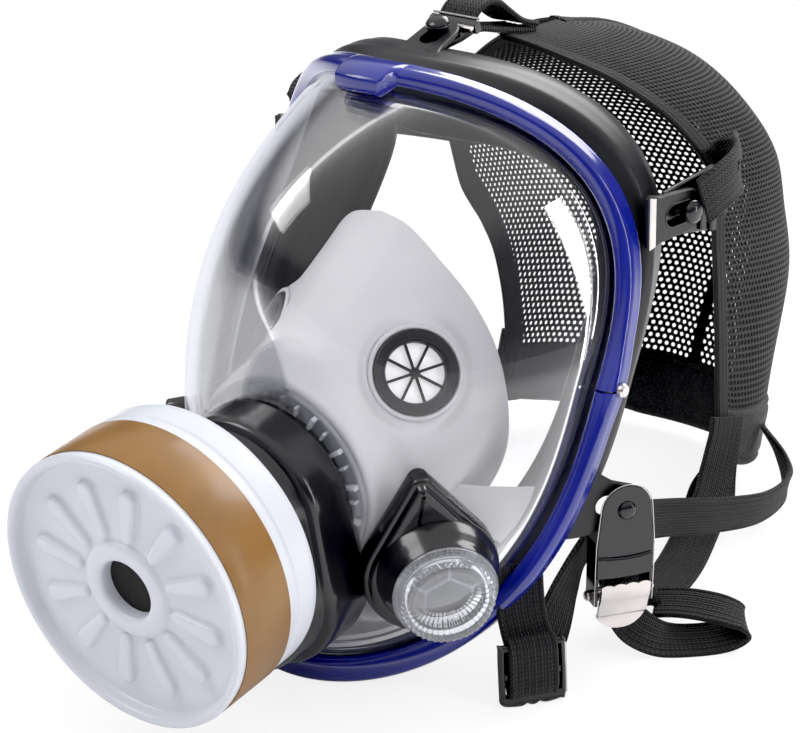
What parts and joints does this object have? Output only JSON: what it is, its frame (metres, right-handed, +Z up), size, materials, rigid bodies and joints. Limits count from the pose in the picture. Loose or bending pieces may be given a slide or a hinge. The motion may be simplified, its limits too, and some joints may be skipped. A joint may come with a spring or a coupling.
{
  "type": "full face respirator",
  "caption": "Full face respirator with a clear dome lens in a blue hoop, rubber seal, nose cup, screw-on filter canister, exhale ports and a mesh head harness on buckled straps.",
  "frame": {"origin": "centre of the bounding box's bottom", "axes": "+Z up with the mask standing on the chin of its hoop, -Y the way the wearer looks, +X the wearer's left"},
  "size_m": [0.276, 0.4116, 0.2315],
  "materials": {
    "clear_lens": "gloss",
    "blue_rim": "gloss",
    "black_rubber": "satin",
    "grey_silicone": "satin",
    "white_silicone": "satin",
    "black_plastic": "gloss",
    "grey_plastic": "satin",
    "clear_cap": "gloss",
    "white_enamel": "satin",
    "label_gold": "satin",
    "filter_paper": "matte",
    "screen_metal": "satin",
    "carbon": "matte",
    "nickel_steel": "satin",
    "black_steel": "gloss",
    "black_webbing": "matte",
    "black_mesh": "matte"
  },
  "bodies": {
    "mask": {"lens": "clear_lens", "rim_upper": "blue_rim", "rim_lower": "blue_rim", "rim_screw_left": "nickel_steel", "rim_screw_right": "nickel_steel", "face_seal": "black_rubber", "nose_cup": "grey_silicone", "cup_valve_seat_left": "black_plastic", "cup_valve_seat_right": "black_plastic", "port_housing": "black_plastic", "port_ring_nut": "grey_plastic", "port_gasket": "black_rubber", "port_valve_seat": "black_plastic", "exhale_housing_left": "black_plastic", "exhale_housing_right": "black_plastic", "exhale_valve_seat_left": "black_plastic", "exhale_valve_seat_right": "black_plastic", "top_tab": "black_rubber", "temple_tab_left": "black_rubber", "temple_tab_right": "black_rubber", "jaw_tab_left": "black_rubber", "jaw_tab_right": "black_rubber", "top_strap_end": "black_plastic", "temple_strap_end_left": "black_plastic", "temple_strap_end_right": "black_plastic", "jaw_buckle_left": "black_steel", "jaw_buckle_right": "black_steel", "jaw_lever_pin_left": "nickel_steel", "jaw_lever_pin_right": "nickel_steel", "neck_buckle_left": "black_plastic", "neck_buckle_right": "black_plastic", "top_strap": "black_webbing", "temple_strap_left": "black_webbing", "temple_strap_right": "black_webbing", "jaw_strap_left": "black_webbing", "jaw_strap_right": "black_webbing", "jaw_strap_tail_left": "black_webbing", "jaw_strap_tail_right": "black_webbing", "neck_strap_left": "black_webbing", "neck_strap_right": "black_webbing", "chin_strap_left": "black_webbing", "chin_strap_right": "black_webbing", "head_net": "black_mesh"},
    "gasket_carrier": {"canister_gasket": "black_rubber"},
    "canister": {"canister_shell": "white_enamel", "canister_cover": "white_enamel", "canister_label": "label_gold", "particulate_filter": "filter_paper", "screen_front": "screen_metal", "carbon_bed": "carbon", "screen_rear": "screen_metal"},
    "port_valve": {"port_valve_disc": "white_silicone"},
    "exhale_valve_left": {"exhale_valve_disc_left": "white_silicone"},
    "exhale_valve_right": {"exhale_valve_disc_right": "white_silicone"},
    "exhale_cover_left": {"exhale_cap_left": "clear_cap"},
    "exhale_cover_right": {"exhale_cap_right": "clear_cap"},
    "cup_valve_left": {"cup_valve_disc_left": "white_silicone"},
    "cup_valve_right": {"cup_valve_disc_right": "white_silicone"},
    "lever_left": {"jaw_lever_left": "nickel_steel"},
    "lever_right": {"jaw_lever_right": "nickel_steel"}
  },
  "joints": [
    {"name": "canister_travel", "type": "slide", "parent": "mask", "child": "gasket_carrier", "axis": [0, -0.9912, -0.1323], "range_m": [0, 0.011]},
    {"name": "canister_turn", "type": "hinge", "parent": "gasket_carrier", "child": "canister", "pos_m": [0, -0.199, 0.0696], "axis": [0, -0.9912, -0.1323], "range_deg": [0, 1080]},
    {"name": "port_valve_lift", "type": "slide", "parent": "mask", "child": "port_valve", "axis": [0, 0.9912, 0.1323], "range_m": [0, 0.002], "stiffness_N_per_m": 20},
    {"name": "exhale_valve_lift_left", "type": "slide", "parent": "mask", "child": "exhale_valve_left", "axis": [0.7419, -0.6526, -0.154], "range_m": [0, 0.0016], "stiffness_N_per_m": 20},
    {"name": "exhale_valve_lift_right", "type": "slide", "parent": "mask", "child": "exhale_valve_right", "axis": [-0.7419, -0.6526, -0.154], "range_m": [0, 0.0016], "stiffness_N_per_m": 20},
    {"name": "exhale_cap_turn_left", "type": "hinge", "parent": "mask", "child": "exhale_cover_left", "pos_m": [0.05626, -0.09588, 0.05814], "axis": [0.7419, -0.6526, -0.154], "range_deg": [0, 45]},
    {"name": "exhale_cap_turn_right", "type": "hinge", "parent": "mask", "child": "exhale_cover_right", "pos_m": [-0.05626, -0.09588, 0.05814], "axis": [-0.7419, -0.6526, -0.154], "range_deg": [0, 45]},
    {"name": "cup_valve_lift_left", "type": "slide", "parent": "mask", "child": "cup_valve_left", "axis": [-0.6624, 0.5821, -0.4717], "range_m": [0, 0.0015], "stiffness_N_per_m": 20},
    {"name": "cup_valve_lift_right", "type": "slide", "parent": "mask", "child": "cup_valve_right", "axis": [0.6624, 0.5821, -0.4717], "range_m": [0, 0.0015], "stiffness_N_per_m": 20},
    {"name": "jaw_lever_turn_left", "type": "hinge", "parent": "mask", "child": "lever_left", "pos_m": [0.0927, -0.0276, 0.0288], "axis": [-0.5708, -0.8211, 0], "range_deg": [0, 38]},
    {"name": "jaw_lever_turn_right", "type": "hinge", "parent": "mask", "child": "lever_right", "pos_m": [-0.0927, -0.0276, 0.0288], "axis": [-0.5708, 0.8211, 0], "range_deg": [0, 38]}
  ],
  "couplings": [
    {"joint": "canister_travel", "follows": "canister_turn", "m_per_rad": 0.000577}
  ]
}
